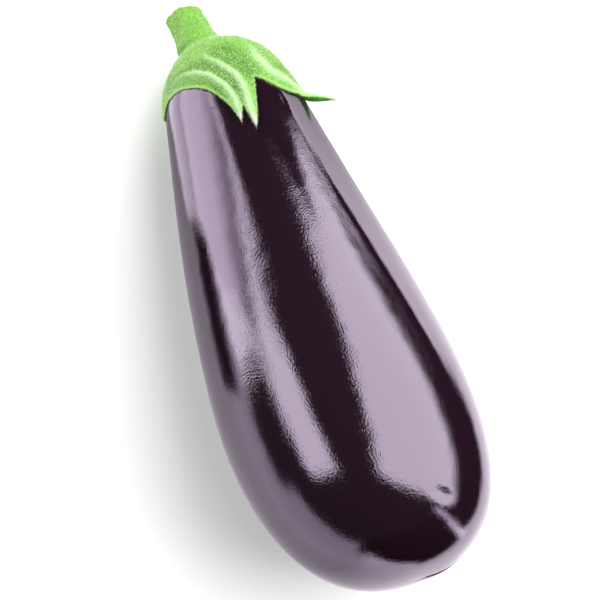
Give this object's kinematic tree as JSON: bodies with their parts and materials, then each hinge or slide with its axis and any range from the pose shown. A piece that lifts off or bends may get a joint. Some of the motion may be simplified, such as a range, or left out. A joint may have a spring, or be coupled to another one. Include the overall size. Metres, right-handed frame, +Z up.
{
  "type": "eggplant",
  "caption": "Whole dark purple eggplant lying on its side, long pear-shaped fruit with a lobed green calyx and a cut stem stub.",
  "frame": {"origin": "centre of the bounding box, on the ground that the eggplant lies on", "axes": "+Y along the eggplant from the flower-scar end towards the stem, +Z up from the ground"},
  "size_m": [0.09, 0.2384, 0.0918],
  "materials": {
    "skin": "waxy purple-black skin, glossy",
    "calyx": "downy bright green leaf, satin",
    "stem": "downy bright green stalk, satin, sawn top"
  },
  "bodies": {
    "root": {"fruit": "skin", "calyx": "calyx", "stem": "stem"}
  },
  "joints": []
}
